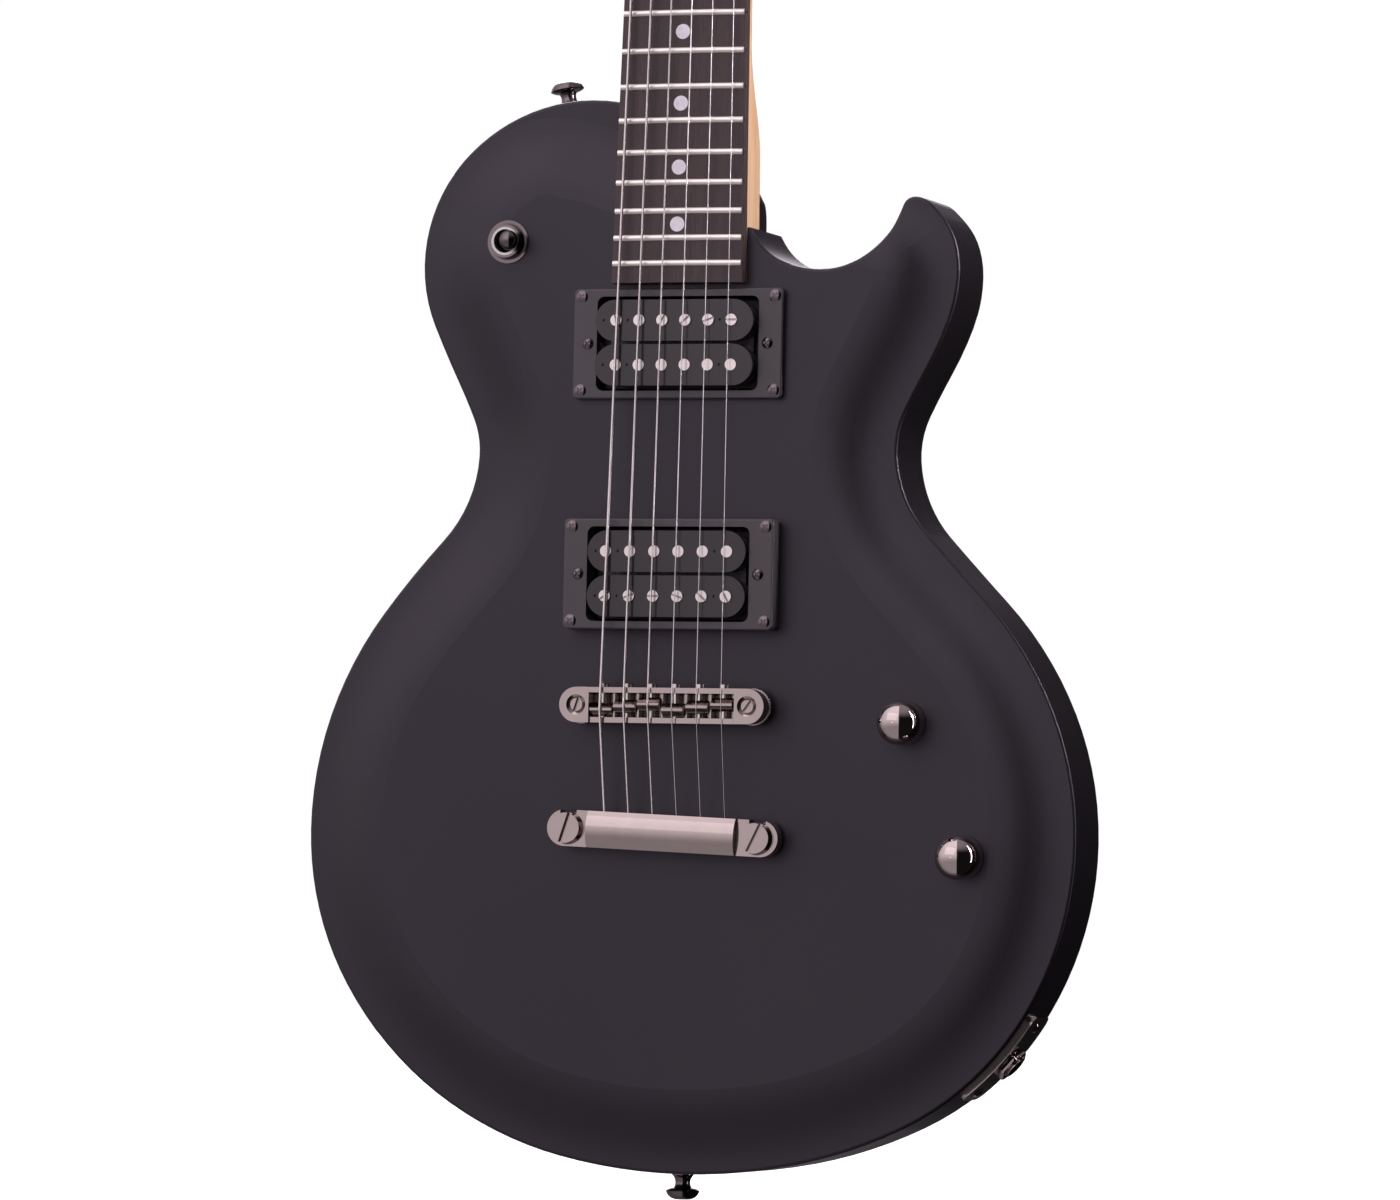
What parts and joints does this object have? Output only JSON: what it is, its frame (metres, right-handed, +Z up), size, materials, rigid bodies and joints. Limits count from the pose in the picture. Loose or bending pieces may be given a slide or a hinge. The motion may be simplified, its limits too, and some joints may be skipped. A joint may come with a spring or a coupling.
{
  "type": "electric guitar",
  "caption": "Solid-body single-cutaway electric guitar with a bolt-on neck, paired coil pickups, fixed bridge, stop bar tailpiece, volume and tone knobs and a pickup switch.",
  "frame": {"origin": "on the centre line at the root of the headstock, in the plane of the body's flat top, where a wall hanger's arms hold the instrument", "axes": "+Z up along the neck, +X towards the treble side with the cutaway, +Y towards the back, so the strings face -Y"},
  "size_m": [0.333, 0.0847, 1.0184],
  "materials": {
    "black_lacquer": "satin black lacquer over a solid wood body",
    "maple": "clear satin lacquer",
    "rosewood": "oiled, dark brown",
    "fret_wire": "polished nickel silver",
    "dot_plastic": "pearly white",
    "nut_plastic": "bone white",
    "rod_steel": "plain steel",
    "black_nickel": "dark polished plating",
    "string_nickel": "nickel wound",
    "string_steel": "bright drawn steel",
    "black_plastic": "satin black",
    "bobbin_plastic": "satin black",
    "pole_nickel": "bright nickel",
    "copper_coil": "enamelled copper wire",
    "magnet": "sintered bar magnet",
    "baseplate_metal": "nickel silver sheet",
    "spring_steel": "spring steel",
    "pot_steel": "plated steel cans",
    "capacitor_resin": "dipped resin",
    "wire_insulation": "black insulation",
    "bushing_metal": "plated, knurled"
  },
  "bodies": {
    "guitar": {"body": "black_lacquer", "neck": "maple", "fretboard": "rosewood", "frets": "fret_wire", "dot_inlays": "dot_plastic", "nut": "nut_plastic", "truss_rod": "rod_steel", "truss_rod_cover": "black_plastic", "neck_plate": "black_nickel", "neck_screws": "black_nickel", "wound_strings": "string_nickel", "plain_strings": "string_steel", "bridge_frame": "black_nickel", "bridge_saddles": "black_nickel", "intonation_screws": "black_nickel", "bridge_posts": "black_nickel", "bridge_thumbwheels": "black_nickel", "stud_bushings": "bushing_metal", "tailpiece": "black_nickel", "tailpiece_studs": "black_nickel", "neck_pickup_ring": "black_plastic", "bridge_pickup_ring": "black_plastic", "pickup_ring_screws": "black_nickel", "pickup_bobbins": "bobbin_plastic", "pickup_coils": "copper_coil", "pickup_pole_screws": "pole_nickel", "pickup_slugs": "pole_nickel", "pickup_magnets": "magnet", "pickup_baseplates": "baseplate_metal", "pickup_height_screws": "black_nickel", "pickup_height_springs": "spring_steel", "switch_frame": "pot_steel", "switch_nut": "black_nickel", "pots": "pot_steel", "pot_nuts": "pot_steel", "tone_capacitor": "capacitor_resin", "jack_plate": "black_nickel", "output_jack": "black_nickel", "wiring": "wire_insulation", "control_cavity_cover": "black_plastic", "switch_cavity_cover": "black_plastic", "cover_screws": "black_nickel", "strap_buttons": "black_nickel", "tuner_housings": "black_nickel", "tuner_bushings": "black_nickel"},
    "switch_lever": {"switch_lever": "black_nickel"},
    "volume_knob": {"volume_knob": "black_nickel"},
    "tone_knob": {"tone_knob": "black_nickel"},
    "tuner_button_1": {"tuner_button_1": "black_nickel"},
    "tuner_button_2": {"tuner_button_2": "black_nickel"},
    "tuner_button_3": {"tuner_button_3": "black_nickel"},
    "tuner_button_4": {"tuner_button_4": "black_nickel"},
    "tuner_button_5": {"tuner_button_5": "black_nickel"},
    "tuner_button_6": {"tuner_button_6": "black_nickel"},
    "tuner_post_1": {"tuner_post_1": "black_nickel"},
    "tuner_post_2": {"tuner_post_2": "black_nickel"},
    "tuner_post_3": {"tuner_post_3": "black_nickel"},
    "tuner_post_4": {"tuner_post_4": "black_nickel"},
    "tuner_post_5": {"tuner_post_5": "black_nickel"},
    "tuner_post_6": {"tuner_post_6": "black_nickel"}
  },
  "joints": [
    {"name": "switch_tilt", "type": "hinge", "parent": "guitar", "child": "switch_lever", "pos_m": [-0.0764, 0.003, -0.4554], "axis": [0, 0, 1], "range_deg": [-32, 0]},
    {"name": "volume_turn", "type": "hinge", "parent": "guitar", "child": "volume_knob", "pos_m": [0.1002, 0, -0.653], "axis": [0, -1, 0], "range_deg": [-150, 150]},
    {"name": "tone_turn", "type": "hinge", "parent": "guitar", "child": "tone_knob", "pos_m": [0.1259, 0, -0.707], "axis": [0, -1, 0], "range_deg": [-150, 150]},
    {"name": "tuner_button_1_turn", "type": "hinge", "parent": "guitar", "child": "tuner_button_1", "pos_m": [-0.024, 0.04163, 0.03471], "axis": [-1, 0, 0], "continuous": true},
    {"name": "tuner_post_1_turn", "type": "hinge", "parent": "guitar", "child": "tuner_post_1", "pos_m": [-0.024, 0.03998, 0.0278], "axis": [0, -0.9725, 0.2329], "continuous": true},
    {"name": "tuner_button_2_turn", "type": "hinge", "parent": "guitar", "child": "tuner_button_2", "pos_m": [-0.0225, 0.05048, 0.07166], "axis": [-1, 0, 0], "continuous": true},
    {"name": "tuner_post_2_turn", "type": "hinge", "parent": "guitar", "child": "tuner_post_2", "pos_m": [-0.0225, 0.04883, 0.06476], "axis": [0, -0.9725, 0.2329], "continuous": true},
    {"name": "tuner_button_3_turn", "type": "hinge", "parent": "guitar", "child": "tuner_button_3", "pos_m": [-0.021, 0.05933, 0.10862], "axis": [-1, 0, 0], "continuous": true},
    {"name": "tuner_post_3_turn", "type": "hinge", "parent": "guitar", "child": "tuner_post_3", "pos_m": [-0.021, 0.05768, 0.10171], "axis": [0, -0.9725, 0.2329], "continuous": true},
    {"name": "tuner_button_4_turn", "type": "hinge", "parent": "guitar", "child": "tuner_button_4", "pos_m": [0.021, 0.05933, 0.10862], "axis": [1, 0, 0], "continuous": true},
    {"name": "tuner_post_4_turn", "type": "hinge", "parent": "guitar", "child": "tuner_post_4", "pos_m": [0.021, 0.05768, 0.10171], "axis": [0, -0.9725, 0.2329], "continuous": true},
    {"name": "tuner_button_5_turn", "type": "hinge", "parent": "guitar", "child": "tuner_button_5", "pos_m": [0.0225, 0.05048, 0.07166], "axis": [1, 0, 0], "continuous": true},
    {"name": "tuner_post_5_turn", "type": "hinge", "parent": "guitar", "child": "tuner_post_5", "pos_m": [0.0225, 0.04883, 0.06476], "axis": [0, -0.9725, 0.2329], "continuous": true},
    {"name": "tuner_button_6_turn", "type": "hinge", "parent": "guitar", "child": "tuner_button_6", "pos_m": [0.024, 0.04163, 0.03471], "axis": [1, 0, 0], "continuous": true},
    {"name": "tuner_post_6_turn", "type": "hinge", "parent": "guitar", "child": "tuner_post_6", "pos_m": [0.024, 0.03998, 0.0278], "axis": [0, -0.9725, 0.2329], "continuous": true}
  ],
  "couplings": [
    {"joint": "tuner_post_1_turn", "follows": "tuner_button_1_turn", "ratio": 0.066667},
    {"joint": "tuner_post_2_turn", "follows": "tuner_button_2_turn", "ratio": 0.066667},
    {"joint": "tuner_post_3_turn", "follows": "tuner_button_3_turn", "ratio": 0.066667},
    {"joint": "tuner_post_4_turn", "follows": "tuner_button_4_turn", "ratio": 0.066667},
    {"joint": "tuner_post_5_turn", "follows": "tuner_button_5_turn", "ratio": 0.066667},
    {"joint": "tuner_post_6_turn", "follows": "tuner_button_6_turn", "ratio": 0.066667}
  ]
}
